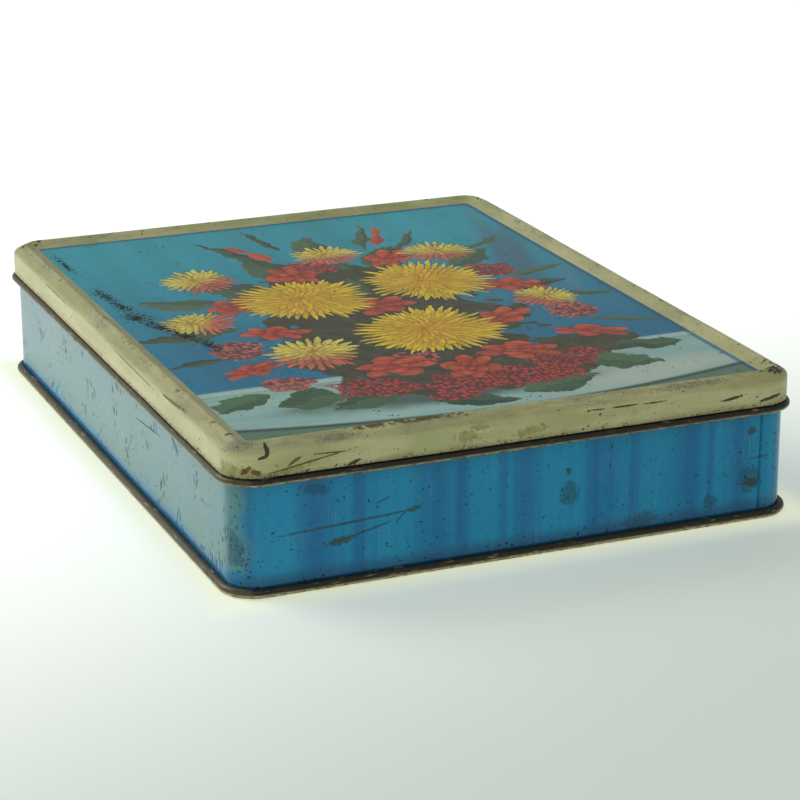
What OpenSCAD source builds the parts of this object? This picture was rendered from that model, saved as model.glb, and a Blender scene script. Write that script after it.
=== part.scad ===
// Rectangular slip-lid cookie tin: a drawn lid with a curled edge over a body of two wrapped
// sheets with a seamed-on bottom. Millimetres, +Z up, origin at the middle of the footprint.
// X runs along the short side and Y along the long side.

/* [Body] */
// Width of the body over the short side, wall face to wall face
body_w = 190; // [120:1:320]
// Length of the body over the long side, wall face to wall face
body_l = 246; // [140:1:400]
// Height of the rolled top edge of the walls
wall_top = 46.9; // [40:0.1:46.9]
// Radius of the upright corners, on the outer face of the wall
corner_r = 9.5; // [9.4:0.1:30]
// Thickness of the tinplate
sheet = 0.3; // [0.25:0.05:0.3]
// Depth of the hem folded inside along the top edge of the walls
hem_depth = 4.5; // [3:0.5:8]

/* [Side seams] */
// Distance from the start of a corner back to the side seam
seam_back = 1.8; // [1.8:0.1:20]
// Overlap of the hooks in the side seam
seam_hook = 2.4; // [1.5:0.1:4]

/* [Bottom] */
// Outer radius of the bottom bead
bead_r = 1.5; // [1.5:0.05:1.8]
// How far the centre of the bottom bead stands outside the wall face
bead_out = 0.8; // [0.75:0.05:0.85]
// Height of the flat bottom panel's underside over the ground
floor_gap = 2.9; // [2.9:0.1:6]
// Distance in from the wall to the step pressed in the bottom
step_in = 12; // [9:1:25]
// Height of the step pressed in the bottom
step_h = 0.6; // [0.4:0.1:1.5]

/* [Lid] */
// Height of the crest of the lid's rim
lid_top = 49; // [49:0.1:60]
// Height of the middle of the lid's curled edge
curl_z = 36.9; // [20:0.1:40]
// How far the outer face of the skirt stands outside the wall face
skirt_out = 1.5; // [1.5:0.1:3]
// Outer radius of the curled edge
curl_r = 1.15; // [1.1:0.05:1.15]
// Drop from the crest to the break between shoulder and skirt
shoulder_drop = 2.25; // [1.5:0.05:2.5]
// Distance of the crest inboard of the wall face
crest_in = 3.2; // [2.5:0.1:4]
// Drop from the crest to the recessed picture panel
panel_drop = 2.3; // [1:0.1:3]
// Distance of the panel's edge inboard of the wall face
panel_in = 7.8; // [7:0.1:7.8]

/* [Hidden] */

$fn = 48;
half_w = body_w / 2;
half_l = body_l / 2;
mid = sheet / 2;
bend_steps = 5;          // flats in one bend of a section

// Wall and side seams
fold_gap = 0.1;          // clearance inside the hem
butt_gap = 0.06;         // clearance where the two sheets meet end to end
layer_gap = 0.02;        // clearance between the layers of a side seam
layer = sheet + layer_gap;
jog = 1.4;               // width of the groove where a sheet steps in behind its neighbour
seam_x = half_w - corner_r - seam_back;
seam_low = floor_gap + sheet + 0.4;
seam_high = wall_top - hem_depth - 0.6;

// Bottom
bead_z = bead_r - 0.06;  // the bead is pressed a little flat where the tin stands
flange_out = 1.45;       // reach of the wall's hook inside the bead
flange_z = bead_z - 0.25;
panel_z = floor_gap + mid;
panel_rim = 2;           // width of the swept edge of the bottom, inside the wall

// Lid
skirt_u = skirt_out - mid;
break_z = lid_top - shoulder_drop - mid;
recess_z = lid_top - panel_drop - mid;
plate_in = 9;            // where the lid's flat plate takes over from the swept rim
crest_bend = 0.9;
outer_slope = atan(shoulder_drop / (crest_in + skirt_u));
inner_slope = atan(panel_drop / (panel_in - crest_in));
crest_lift = crest_bend * (cos((outer_slope - inner_slope) / 2)
    / cos((outer_slope + inner_slope) / 2) - 1);

// ---- Paths of the sheet's middle, as [u, z]: u is outward from the wall's outer face ----

function unit(v) = v / norm(v);

// Round bend of radius r at corner b of the path a, b, c
function bend(a, b, c, r) =
    let (p = unit(a - b))
    let (q = unit(c - b))
    let (half = acos(p * q) / 2)
    let (centre = b + unit(p + q) * r / sin(half))
    let (first = b + p * r / tan(half) - centre)
    let (last = b + q * r / tan(half) - centre)
    let (turn = 180 - 2 * half)
    [for (i = [0 : bend_steps])
        let (t = i / bend_steps)
        centre + (first * sin(turn * (1 - t)) + last * sin(turn * t)) / sin(turn)];

// Arc of radius r round a centre, from angle a0 to a1
function arc(centre, r, a0, a1, steps) =
    [for (i = [0 : steps])
        let (a = a0 + (a1 - a0) * i / steps)
        centre + r * [cos(a), sin(a)]];

// Vector across the path at point i that keeps the thickness round a bend
function across(path, i) =
    let (before = unit(path[max(i, 1)] - path[max(i, 1) - 1]))
    let (j = min(i, len(path) - 2))
    let (after = unit(path[j + 1] - path[j]))
    let (along = unit(before + after))
    [-along[1], along[0]] / (along * before);

// Strip of sheet whose middle runs along the path
module strip(path) {
    last = len(path) - 1;
    one_side = [for (i = [0 : last]) path[i] + across(path, i) * mid];
    other_side = [for (i = [last : -1 : 0]) path[i] - across(path, i) * mid];
    polygon(concat(one_side, other_side));
}

// ---- Sweeps of a section round the tin ----

// Front side, from x0 to x1
module along_front(x0, x1) {
    translate([x1, -half_l, 0])
        rotate([90, 0, -90])
            linear_extrude(x1 - x0) children();
}

// Left side, from corner to corner
module along_left() {
    translate([-half_w, -half_l + corner_r, 0])
        rotate([90, 0, 180])
            linear_extrude(body_l - 2 * corner_r) children();
}

// Corner at the left end of the front, or of the back
module left_corner(back = false) {
    side = back ? 1 : -1;
    translate([-half_w + corner_r, side * (half_l - corner_r), 0])
        rotate([0, 0, back ? 90 : 180])
            rotate_extrude(angle = 90) translate([corner_r, 0]) children();
}

// All four sides and corners
module all_round() {
    for (turn = [0, 180]) {
        rotate([0, 0, turn]) {
            along_front(-half_w + corner_r, half_w - corner_r) children();
            along_left() children();
            left_corner() children();
            left_corner(back = true) children();
        }
    }
}

// Footprint of the tin, brought in from the wall face
module footprint(inset) {
    w = body_w - 2 * inset;
    l = body_l - 2 * inset;
    r = max(corner_r - inset, 1.5);
    square([w - 2 * r, l], center = true);
    square([w, l - 2 * r], center = true);
    for (x = [-1, 1], y = [-1, 1]) {
        translate([x * (w / 2 - r), y * (l / 2 - r)]) circle(r);
    }
}

// ---- Sections ----

// Wall: hooked into the bead below, hemmed to the inside above
module wall_section() {
    fold_r = (sheet + fold_gap) / 2;
    fold_centre = [-mid - fold_r, wall_top - mid - fold_r];
    hook = bend([flange_out, flange_z], [-mid, flange_z], [-mid, wall_top], 0.35);
    fold = arc(fold_centre, fold_r, 0, 180, 8);
    leaf_end = [-mid - 2 * fold_r, wall_top - hem_depth];
    strip(concat([[flange_out, flange_z]], hook, fold, [leaf_end]));
}

// Bottom: edge of the panel, riser against the wall, bead rolled round the wall's hook
module bottom_section() {
    riser_u = -sheet - mid;
    roll_r = bead_r - mid;
    roll_start = 180 + acos((bead_out - riser_u) / roll_r);
    riser = bend([-panel_rim, panel_z], [riser_u, panel_z], [riser_u, 0], 0.4);
    roll = arc([bead_out, bead_z], roll_r, roll_start, 475, 20);
    difference() {
        strip(concat([[-panel_rim, panel_z]], riser, roll));
        translate([-bead_r, -bead_r]) square([4 * bead_r, bead_r]);
    }
}

// Lid: slope up from the recessed panel, crest, shoulder, skirt and curled edge
module lid_section() {
    roll_r = curl_r - mid;
    roll_centre = [skirt_out, curl_z];
    roll_start = 150;
    lean = (roll_r * cos(roll_start) + mid) / sin(roll_start - 180);
    edge = [-plate_in, recess_z];
    foot = [-panel_in, recess_z];
    crest = [-crest_in, lid_top - mid + crest_lift];
    shoulder = [skirt_u, break_z];
    waist = [skirt_u, curl_z + roll_r * sin(roll_start) + lean * cos(roll_start - 180)];
    roll = arc(roll_centre, roll_r, roll_start, 455, 18);
    strip(concat([edge], bend(edge, foot, crest, 0.9), bend(foot, crest, shoulder, crest_bend),
        bend(crest, shoulder, waist, 1.4), bend(shoulder, waist, roll[0], 0.6), roll));
}

// ---- Side seam, seen from above: x along the front wall, v inward from its outer face ----

// Space taken by the hooked edges, cut out of the plain walls
module seam_space(x0, x1) {
    translate([x0, -half_l - 1, seam_low]) cube([x1 - x0, 2, seam_high - seam_low]);
}

// A hooked edge, standing on the front wall
module seam_edge(path) {
    translate([0, -half_l, seam_low]) linear_extrude(seam_high - seam_low) strip(path);
}

// Edge folded back on the inside
module outer_hook() {
    turn_x = seam_x - layer - mid;
    fold = arc([turn_x, mid + layer], layer, -90, 90, 8);
    seam_edge(concat([[turn_x - 1, mid]], fold, [[seam_x - seam_hook, mid + 2 * layer]]));
}

// Edge that steps in behind its neighbour and hooks into its fold
module inner_hook() {
    deep = mid + 3 * layer;
    turn_x = seam_x - seam_hook - 0.4;
    start = [seam_x + jog + 0.4, mid];
    high = [seam_x + jog, mid];
    low = [seam_x + 0.2, deep];
    fold = arc([turn_x, deep - layer], layer, 90, 270, 8);
    seam_edge(concat([start], bend(start, high, low, 0.4), bend(high, low, fold[0], 0.4),
        fold, [[seam_x - layer - 0.25, mid + layer]]));
}

// ---- Pieces ----

module lid() {
    color("khaki") {
        all_round() lid_section();
        translate([0, 0, recess_z - mid]) linear_extrude(sheet) footprint(plate_in - 0.2);
    }
}

module wrapped_wall() {
    outer_hook_x = seam_x - layer - mid;
    inner_hook_x = seam_x + jog;
    difference() {
        union() {
            along_front(-half_w + corner_r, seam_x) wall_section();
            along_left() wall_section();
            left_corner() wall_section();
            left_corner(back = true) wall_section();
            rotate([0, 0, 180]) along_front(seam_x + butt_gap, half_w - corner_r) wall_section();
        }
        seam_space(outer_hook_x, seam_x + 1);
        rotate([0, 0, 180]) seam_space(seam_x, inner_hook_x);
    }
    outer_hook();
    rotate([0, 0, 180]) inner_hook();
}

module front_left_wall() {
    color("steelblue") wrapped_wall();
}

module back_right_wall() {
    color("steelblue") rotate([0, 0, 180]) wrapped_wall();
}

module bottom_panel() {
    color("dimgray") {
        all_round() bottom_section();
        translate([0, 0, floor_gap]) {
            linear_extrude(sheet) difference() {
                footprint(panel_rim - 0.2);
                footprint(step_in + sheet);
            }
            linear_extrude(step_h + sheet) difference() {
                footprint(step_in);
                footprint(step_in + sheet);
            }
            translate([0, 0, step_h]) linear_extrude(sheet) footprint(step_in + mid);
        }
    }
}

lid();
front_left_wall();
back_right_wall();
bottom_panel();
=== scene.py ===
import math

import bmesh
import bpy
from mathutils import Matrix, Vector, noise


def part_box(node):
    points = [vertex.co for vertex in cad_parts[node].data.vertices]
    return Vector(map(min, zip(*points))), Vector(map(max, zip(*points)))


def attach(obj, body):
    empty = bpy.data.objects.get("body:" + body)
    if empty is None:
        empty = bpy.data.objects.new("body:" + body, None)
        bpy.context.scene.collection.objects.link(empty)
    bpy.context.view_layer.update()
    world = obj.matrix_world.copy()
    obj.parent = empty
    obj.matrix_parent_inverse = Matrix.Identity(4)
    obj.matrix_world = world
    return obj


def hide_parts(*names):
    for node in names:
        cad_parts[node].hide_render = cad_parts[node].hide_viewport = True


# An old, much used cookie tin of four sheets: a slip lid, two wrapped walls and a bottom.
# X runs along the short side, Y along the long side from the picture's foot to its head, and Z up.
# Sizes and places are in millimetres until finish_piece turns them into metres.

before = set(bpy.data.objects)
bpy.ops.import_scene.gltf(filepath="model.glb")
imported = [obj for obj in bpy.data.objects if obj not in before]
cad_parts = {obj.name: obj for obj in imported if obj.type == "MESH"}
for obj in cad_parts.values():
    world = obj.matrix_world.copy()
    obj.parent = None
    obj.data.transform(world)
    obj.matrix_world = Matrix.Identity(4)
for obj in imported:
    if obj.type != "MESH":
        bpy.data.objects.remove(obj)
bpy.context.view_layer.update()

# ---- Sizes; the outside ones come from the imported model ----

MM = 0.001
SHEET = 0.3
MID = SHEET / 2
CORNER_R = 9.5                  # upright corners, on the wall's outer face
HEM_DEPTH = 4.5                 # fold inside along the top edge of the walls
HEM_GAP = 0.1                   # clearance inside that fold
SEAM_BACK = 1.8                 # from the start of a corner back to the side seam
SEAM_HOOK = 2.4                 # overlap of the hooks in a side seam
BEAD_R = 1.5
BEAD_OUT = 0.8                  # how far the bead's centre stands outside the wall face
FLANGE_OUT = 1.45               # reach of the wall's hook inside the bead
FLANGE_DROP = 0.25
CURL_R = 1.15
SKIRT_OUT = 1.5                 # outer face of the lid's skirt outside the wall face
SHOULDER_DROP = 2.25
CREST_IN = 3.2
CREST_LIFT = 0.04               # makes up for the height that rounding the crest takes away
PANEL_DROP = 2.3
PANEL_IN = 7.8
FLOOR_GAP = 2.9                 # under the flat bottom panel
STEP_IN = 12
STEP_H = 0.6
STEP_WIDTH = 0.6
FLAT_RIM = 2                    # edge of the bottom that stays level beside the wall

lid_low, lid_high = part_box("lid")
wall_low, wall_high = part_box("front_left_wall")
HALF_W = lid_high.x / MM - SKIRT_OUT - CURL_R
HALF_L = lid_high.y / MM - SKIRT_OUT - CURL_R
LID_TOP = lid_high.z / MM
CURL_Z = lid_low.z / MM + CURL_R
WALL_TOP = wall_high.z / MM

FLAT_X = HALF_W - CORNER_R      # half of the straight stretch of a short side
FLAT_Y = HALF_L - CORNER_R
LAYER = SHEET + 0.02            # pitch of the layers in a side seam
SEAM_X = FLAT_X - SEAM_BACK
JOG = 1.4                       # width of the groove where a sheet steps in behind its neighbour
BUTT_GAP = 0.06                 # where the two sheets meet end to end
SEAM_LOW = FLOOR_GAP + SHEET + 0.4
SEAM_HIGH = WALL_TOP - HEM_DEPTH - 0.6
BEAD_Z = BEAD_R - 0.06          # the bead is pressed a little flat where the tin stands
PANEL_Z = FLOOR_GAP + MID
SKIRT_U = SKIRT_OUT - MID
BREAK_Z = LID_TOP - SHOULDER_DROP - MID
RECESS_Z = LID_TOP - PANEL_DROP - MID

CORNER_STEPS = 12
BEND_STEPS = 6
SEAM_STEPS = 12
STATION_GAP = 4                 # spacing of the cross-sections along the straight sides
ROW_GAP = 3                     # longest stretch of a section of the walls and bottom
LID_ROW_GAP = 1.6
SMOOTH_UNDER = 38               # degrees; sharper folds keep a crisp edge

# Unevenness of hand-fed pressings: height, length of a wave and seed
PANEL_WAVE = (0.16, 60, 3)
SKIRT_WAVE = (0.22, 38, 5)
CREST_WAVE = (0.12, 45, 7)
WALL_WAVE = (0.25, 42, 11)
BOTTOM_WAVE = (0.1, 50, 17)


# ---- Sections of sheet: paths of [u, z], u being outward from the wall's outer face ----

def bend(a, b, c, radius):
    """Points of a round bend at corner b of the path a, b, c."""
    a, b, c = Vector(a), Vector(b), Vector(c)
    p = (a - b).normalized()
    q = (c - b).normalized()
    half = math.acos(p.dot(q)) / 2
    centre = b + (p + q).normalized() * radius / math.sin(half)
    first = b + p * radius / math.tan(half) - centre
    last = b + q * radius / math.tan(half) - centre
    turn = math.pi - 2 * half
    shares = [i / BEND_STEPS for i in range(BEND_STEPS + 1)]
    return [centre + (first * math.sin(turn * (1 - t)) + last * math.sin(turn * t)) / math.sin(turn)
            for t in shares]


def arc(centre, radius, start, end, steps):
    """Points of an arc, between two angles in degrees."""
    angles = [math.radians(start + (end - start) * i / steps) for i in range(steps + 1)]
    return [Vector(centre) + radius * Vector((math.cos(a), math.sin(a))) for a in angles]


def fine(path, gap):
    """The path with its long stretches divided, so that the sheet can be wavy."""
    out = [Vector(path[0])]
    for point in path[1:]:
        point = Vector(point)
        count = max(1, math.ceil((point - out[-1]).length / gap))
        start = out[-1]
        out += [start.lerp(point, i / count) for i in range(1, count + 1)]
    return out


def outline(path):
    """Out along one face of a sheet and back along the other, the path being the sheet's middle."""
    path = [Vector(point) for point in path]
    left, right = [], []
    for i, point in enumerate(path):
        before = (path[max(i, 1)] - path[max(i, 1) - 1]).normalized()
        j = min(i, len(path) - 2)
        after = (path[j + 1] - path[j]).normalized()
        along = (before + after).normalized()
        across = Vector((-along.y, along.x)) * MID / along.dot(before)
        left.append(point + across)
        right.append(point - across)
    return left + right[::-1]


def wall_path():
    """Wall: hooked into the bead below, hemmed to the inside above."""
    fold_r = (SHEET + HEM_GAP) / 2
    fold_centre = (-MID - fold_r, WALL_TOP - MID - fold_r)
    foot = (FLANGE_OUT, BEAD_Z - FLANGE_DROP)
    hook = bend(foot, (-MID, BEAD_Z - FLANGE_DROP), (-MID, WALL_TOP), 0.35)
    fold = arc(fold_centre, fold_r, 0, 180, 8)
    leaf_end = (-MID - 2 * fold_r, WALL_TOP - HEM_DEPTH)
    return fine([foot, *hook, *fold, leaf_end], ROW_GAP)


def bottom_path():
    """Bottom: edge of the panel, riser against the wall, bead rolled round the wall's hook."""
    riser_u = -SHEET - MID
    roll_r = BEAD_R - MID
    roll_start = 180 + math.degrees(math.acos((BEAD_OUT - riser_u) / roll_r))
    riser = bend((-CORNER_R, PANEL_Z), (riser_u, PANEL_Z), (riser_u, 0), 0.4)
    roll = arc((BEAD_OUT, BEAD_Z), roll_r, roll_start, 475, 24)
    return fine([(-CORNER_R, PANEL_Z), *riser, *roll], ROW_GAP)


def lid_path():
    """Lid: slope up from the picture panel, crest, shoulder, skirt and curled edge."""
    roll_r = CURL_R - MID
    roll_start = 150
    side, rise = math.cos(math.radians(roll_start)), math.sin(math.radians(roll_start))
    lean = -(roll_r * side + MID) / rise
    edge = (-CORNER_R, RECESS_Z)
    foot = (-PANEL_IN, RECESS_Z)
    crest = (-CREST_IN, LID_TOP - MID + CREST_LIFT)
    shoulder = (SKIRT_U, BREAK_Z)
    waist = (SKIRT_U, CURL_Z + roll_r * rise - lean * side)
    roll = arc((SKIRT_OUT, CURL_Z), roll_r, roll_start, 455, 22)
    path = [edge, *bend(edge, foot, crest, 0.9), *bend(foot, crest, shoulder, 0.9),
            *bend(crest, shoulder, waist, 1.4), *bend(shoulder, waist, roll[0], 0.6), *roll]
    return fine(path, LID_ROW_GAP)


# ---- Stations round the tin: (x, y, direction x, direction y) on the wall face ----

def marks(half, extra=()):
    """Places along a straight side of the given half length, the extra ones counted in from its ends."""
    count = round(2 * half / STATION_GAP)
    places = {round(half * (2 * i / count - 1), 4) for i in range(count + 1)}
    for inset in extra:
        places |= {round(half - inset, 4), round(inset - half, 4)}
    return sorted(places)


def corner(number):
    """Stations round one corner; 0 is between the front and the right side, then anticlockwise."""
    sx = (1, 1, -1, -1)[number]
    sy = (-1, 1, 1, -1)[number]
    out = []
    for i in range(CORNER_STEPS + 1):
        a = math.radians(-90 + 90 * number + 90 * i / CORNER_STEPS)
        out.append((sx * FLAT_X + CORNER_R * math.cos(a), sy * FLAT_Y + CORNER_R * math.sin(a),
                    math.cos(a), math.sin(a)))
    return out


def front(places):
    """Stations along the front side."""
    return [(x, -HALF_L, 0, -1) for x in places]


def turned(stations):
    """The same stations after half a turn of the tin."""
    return [(-x, -y, -dx, -dy) for x, y, dx, dy in stations]


def all_round(xs, ys):
    """Every station, anticlockwise from the left end of the front side."""
    half_way = front(xs) + corner(0)[1:-1] + [(HALF_W, y, 1, 0) for y in ys] + corner(1)[1:-1]
    return half_way + turned(half_way)


# ---- Meshes, made from rows of points ----

def add_faces(mesh, rows, ring=False, closed=False):
    """Joins each row to the next; ring makes a tube with filled ends, closed joins last row to first."""
    rows = [[mesh.verts.new(point) for point in row] for row in rows]
    for a, b in zip(rows, rows[1:] + rows[:1] if closed else rows[1:]):
        for i in range(len(a) if ring else len(a) - 1):
            j = (i + 1) % len(a)
            mesh.faces.new((a[i], b[i], b[j], a[j]))
    if ring:
        mesh.faces.new(rows[0])
        mesh.faces.new(rows[-1][::-1])


def sweep(stations, section):
    """A section at each of the stations."""
    return [[(x + dx * u, y + dy * u, z) for u, z in section] for x, y, dx, dy in stations]


def plate(xs, ys, height):
    """A grid over the middle of the tin."""
    return [[(x, y, height) for x in xs] for y in ys]


def strip_up(path, turn):
    """A strip of a side seam on the front wall, its path being (x, depth in from the wall face)."""
    levels = [SEAM_LOW + (SEAM_HIGH - SEAM_LOW) * i / SEAM_STEPS for i in range(SEAM_STEPS + 1)]
    return [[(turn * p.x, turn * (p.y - HALF_L), z) for p in outline(path)] for z in levels]


def wave(point, height, length, seed):
    """Slow, even waviness."""
    return height * noise.noise(point / length + Vector((seed, seed, seed)))


def add_object(name, data):
    """Makes an object and puts it in the scene."""
    thing = bpy.data.objects.new(name, data)
    bpy.context.collection.objects.link(thing)
    return thing


def add_mesh(name, mesh, materials):
    """Turns a mesh that is being built into an object."""
    data = bpy.data.meshes.new(name)
    mesh.to_mesh(data)
    mesh.free()
    for material in materials:
        data.materials.append(material)
    return add_object(name, data)


def finish_piece(mesh, name, body, node, materials, zone, deform):
    """Makes the piece from its mesh in millimetres and puts it in the place of its CAD node."""
    bmesh.ops.remove_doubles(mesh, verts=mesh.verts, dist=0.001)
    bmesh.ops.recalc_face_normals(mesh, faces=mesh.faces)
    for face in mesh.faces:
        face.material_index = zone(face)
        face.smooth = True
    for vert in mesh.verts:
        vert.co = (vert.co + deform(vert.co)) * MM
    piece = add_mesh(name, mesh, materials)
    piece.data.set_sharp_from_angle(angle=math.radians(SMOOTH_UNDER))
    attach(piece, body)
    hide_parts(node)


def outward(co):
    """Flat distance of a point outside the wall face, negative inside."""
    over = Vector((max(abs(co.x) - FLAT_X, 0), max(abs(co.y) - FLAT_Y, 0)))
    if over.length:
        return over.length - CORNER_R
    return max(abs(co.x) - FLAT_X, abs(co.y) - FLAT_Y) - CORNER_R


def side_normal(co):
    """Which way is out, seen from above; nothing in the middle of the tin."""
    over = Vector((max(abs(co.x) - FLAT_X, 0) * math.copysign(1, co.x),
                   max(abs(co.y) - FLAT_Y, 0) * math.copysign(1, co.y), 0))
    return over.normalized()


def tray_mesh(path, extra=()):
    """A sheet right across the tin whose edge is swept along the path; extra is as in marks."""
    mesh = bmesh.new()
    xs, ys = marks(FLAT_X, extra), marks(FLAT_Y, extra)
    section = outline(path)
    add_faces(mesh, sweep(all_round(xs, ys), section), closed=True)
    for end in (section[0], section[-1]):
        add_faces(mesh, plate(xs, ys, end.y))
    return mesh


def lid_zone(face):
    """Which of the lid's materials a face has: 0 enamel, 1 picture, 2 rolled edge, 3 inside."""
    co = face.calc_center_median()
    u = outward(co)
    facing = face.normal.dot(side_normal(co))
    if face.normal.z > 0.5 and u < -PANEL_IN + 0.1:
        return 1
    at_curl = u > SKIRT_U - 0.6 and co.z < CURL_Z + CURL_R + 0.3
    behind_skirt = facing < -0.5 and co.z > CURL_Z + CURL_R
    if at_curl and not behind_skirt:
        return 2
    looks_in = u < SKIRT_U and facing < -0.3 and co.z < BREAK_Z
    return 3 if (face.normal.z < -0.3 or looks_in) and co.z > CURL_Z else 0


def lid_shape(co):
    """Unevenness of the lid's panel, skirt and crest."""
    if outward(co) < -CREST_IN:
        return Vector((0, 0, wave(co, *PANEL_WAVE)))
    return side_normal(co) * wave(co, *SKIRT_WAVE) + Vector((0, 0, wave(co, *CREST_WAVE)))


def make_lid(materials):
    finish_piece(tray_mesh(lid_path()), "tin_lid", "lid", "lid", materials,
                 lid_zone, lid_shape)


def outer_hook():
    """Edge of a side seam that is folded back on the inside."""
    turn_x = SEAM_X - LAYER - MID
    fold = arc((turn_x, MID + LAYER), LAYER, -90, 90, 8)
    return [(turn_x, MID), *fold[1:], (SEAM_X - SEAM_HOOK, MID + 2 * LAYER)]


def inner_hook():
    """Edge that steps in behind its neighbour and hooks into its fold."""
    deep = MID + 3 * LAYER
    turn_x = SEAM_X - SEAM_HOOK - 0.4
    start = (SEAM_X + JOG, MID)
    high = (SEAM_X + JOG - 0.3, MID)
    low = (SEAM_X + 0.2, deep)
    fold = arc((turn_x, deep - LAYER), LAYER, 90, 270, 8)
    return [start, *bend(start, high, low, 0.3), *bend(high, low, fold[0], 0.4),
            *fold, (SEAM_X - LAYER - 0.25, MID + LAYER)]


def wall_mesh(turn):
    """One wrapped sheet and its seam edges; turn is 1, or -1 for the same after half a turn."""
    xs, ys = marks(FLAT_X), marks(FLAT_Y)
    outer_x = SEAM_X - LAYER - MID
    inner_x = SEAM_X + JOG
    main = front([x for x in xs if x < outer_x] + [outer_x])[::-1]
    main += corner(3)[::-1][1:-1] + [(-HALF_W, y, -1, 0) for y in ys] + corner(2)[::-1][1:-1]
    main += turned(front([inner_x] + [x for x in xs if x > inner_x + 0.5]))[::-1]
    outer = front([SEAM_X, outer_x])
    inner = turned(front([inner_x, SEAM_X + BUTT_GAP]))
    whole = wall_path()
    below = [*[p for p in whole if p.y < SEAM_LOW], (-MID, SEAM_LOW)]
    above = [(-MID, SEAM_HIGH), *[p for p in whole if p.y > SEAM_HIGH]]
    mesh = bmesh.new()
    for stations, path in ((main, whole), (outer, below), (inner, below), (outer, above), (inner, above)):
        rows = sweep(stations if turn > 0 else turned(stations), outline(path))
        add_faces(mesh, rows, ring=True)
    add_faces(mesh, strip_up(outer_hook(), turn), ring=True)
    add_faces(mesh, strip_up(inner_hook(), -turn), ring=True)
    return mesh


def wall_zone(face):
    """Which of the walls' materials a face has: 0 printed outside, 1 plain inside."""
    co = face.calc_center_median()
    looks_out = face.normal.dot(side_normal(co)) > 0.1
    return 0 if outward(co) > -0.08 or looks_out else 1


def wall_shape(co):
    """Unevenness of the walls between the bead and the rolled top edge."""
    if co.z < BEAD_Z * 2 or co.z > WALL_TOP - 0.6:
        return Vector((0, 0, 0))
    return side_normal(co) * wave(co, *WALL_WAVE)


def make_walls(materials):
    for node, turn in (("front_left_wall", 1), ("back_right_wall", -1)):
        finish_piece(wall_mesh(turn), "printed_" + node, "tin", node, materials,
                     wall_zone, wall_shape)


def bottom_zone(face):
    """Which of the bottom's materials a face has: 0 bead, 1 panel."""
    return 0 if outward(face.calc_center_median()) > -SHEET - 0.5 else 1


def bottom_shape(co):
    """The pressed step, and a little waviness in the panel."""
    u = outward(co)
    if u > -FLAT_RIM:
        return Vector((0, 0, 0))
    share = min(max(0.5 - (STEP_IN + u) / STEP_WIDTH, 0), 1)
    rise = share * share * (3 - 2 * share)
    return Vector((0, 0, STEP_H * rise + rise * wave(co, *BOTTOM_WAVE)))


def make_bottom(materials):
    near_step = [STEP_IN - CORNER_R + STEP_WIDTH * share for share in (-1, -0.5, 0, 0.5, 1)]
    finish_piece(tray_mesh(bottom_path(), near_step), "seamed_bottom", "tin", "bottom_panel",
                 materials, bottom_zone, bottom_shape)


# ---- Camera, floor and light, in metres ----

FLOOR_REACH = 4


def aim_object(name, data, position, ahead):
    """Adds a camera or a lamp that looks along the way ahead."""
    thing = add_object(name, data)
    thing.location = position
    thing.rotation_mode = "QUATERNION"
    thing.rotation_quaternion = ahead.to_track_quat("-Z", "Y")
    return thing


def make_camera():
    """Looks down on the tin's front-left corner from rather near."""
    data = bpy.data.cameras.new("camera")
    data.lens = 121.93
    data.sensor_width = 36
    data.clip_start = 0.05
    heading, dip = math.radians(22.787), math.radians(18.86)
    ahead = Vector((math.cos(dip) * math.sin(heading), math.cos(dip) * math.cos(heading), -math.sin(dip)))
    bpy.context.scene.camera = aim_object("camera", data, (-0.33927, -0.83167, 0.31921), ahead)


def make_floor(material):
    mesh = bmesh.new()
    bmesh.ops.create_grid(mesh, x_segments=8, y_segments=8, size=FLOOR_REACH)
    add_mesh("floor", mesh, [material])


def make_light(name, position, aim, size, power):
    """A white rectangular lamp that faces the point aim."""
    data = bpy.data.lights.new(name, "AREA")
    data.shape = "RECTANGLE"
    data.size, data.size_y = size
    data.energy = power
    aim_object(name, data, position, Vector(aim) - Vector(position))


def make_world():
    """A weak, even light from all round, and plain display of colours."""
    world = bpy.data.worlds.new("studio")
    world.use_nodes = True
    background = world.node_tree.nodes["Background"]
    background.inputs["Color"].default_value = (0.97, 1.0, 0.97, 1)
    background.inputs["Strength"].default_value = 0.3
    bpy.context.scene.world = world
    bpy.context.scene.view_settings.view_transform = "Standard"


# ---- Painting with nodes ----
# Every link joins sockets of one type, so Cycles runs the nodes in the order in which they are made
# and needs little memory for them. A place is a pair of numbers in millimetres, and an ellipse is
# (x, y, half length, half width, turn in degrees).

FAR = 1e6                       # farther than anything on the tin


def shade(red, green, blue):
    """A colour from its usual numbers, 0 to 255."""
    return tuple(c / 12.92 if c <= 0.04045 else ((c + 0.055) / 1.055) ** 2.4
                 for c in (red / 255, green / 255, blue / 255))


def arithmetic(operation):
    """A method of Field that adds one node of arithmetic."""
    return lambda field, other=0.0: field.art.math(operation, field, other)


class Field:
    """A number or colour that varies over a surface. Arithmetic on it adds nodes."""

    __add__ = arithmetic("ADD")
    __sub__ = arithmetic("SUBTRACT")
    __mul__ = arithmetic("MULTIPLY")
    __truediv__ = arithmetic("DIVIDE")
    __pow__ = arithmetic("POWER")
    __abs__ = arithmetic("ABSOLUTE")

    def __init__(self, art, socket):
        self.art = art
        self.socket = socket

    def __rsub__(self, other):
        return self.art.math("SUBTRACT", other, self)


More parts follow.
